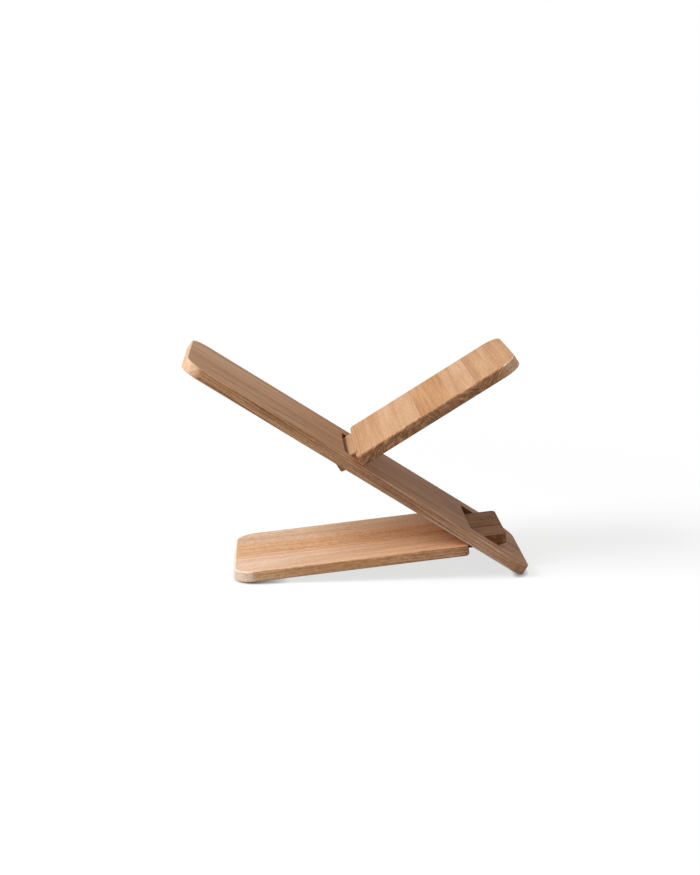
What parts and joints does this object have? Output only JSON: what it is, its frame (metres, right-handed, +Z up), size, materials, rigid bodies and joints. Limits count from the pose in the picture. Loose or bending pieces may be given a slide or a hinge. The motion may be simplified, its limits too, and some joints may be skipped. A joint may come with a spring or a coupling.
{
  "type": "book stand",
  "caption": "Knock-down wooden book stand: two sloping leaves make a V-shaped cradle, a tilted foot props them, all joined by tongues in windows.",
  "frame": {"origin": "on the table, under the middle of the stand's bounding box", "axes": "+X along the stand, towards the end where the long leaf stands on the table; +Y from the front to the back; +Z up"},
  "size_m": [0.3652, 0.14, 0.2405],
  "materials": {
    "beech_pale": "oiled, semi-matt, pale edge-glued stave",
    "beech_mid": "oiled, semi-matt, medium edge-glued stave",
    "beech_warm": "oiled, semi-matt, warm edge-glued stave",
    "beech_dark": "oiled, semi-matt, dark edge-glued stave"
  },
  "bodies": {
    "long_leaf": {"long_leaf_front_stave": "beech_mid", "long_leaf_middle_stave_lower": "beech_warm", "long_leaf_middle_stave_centre": "beech_warm", "long_leaf_middle_stave_upper": "beech_warm", "long_leaf_back_stave": "beech_dark"},
    "short_leaf": {"short_leaf_tongue_stave": "beech_dark", "short_leaf_second_stave": "beech_warm", "short_leaf_third_stave": "beech_mid", "short_leaf_fourth_stave": "beech_dark", "short_leaf_end_stave": "beech_warm"},
    "foot": {"foot_front_stave": "beech_pale", "foot_middle_stave": "beech_warm", "foot_back_stave": "beech_mid"}
  },
  "joints": [
    {"name": "short_leaf_pull", "type": "slide", "parent": "long_leaf", "child": "short_leaf", "axis": [0.848, 0, 0.5299], "range_m": [0, 0.04]},
    {"name": "foot_pull", "type": "slide", "parent": "long_leaf", "child": "foot", "axis": [-0.9942, 0, -0.1075], "range_m": [0, 0.06]}
  ]
}
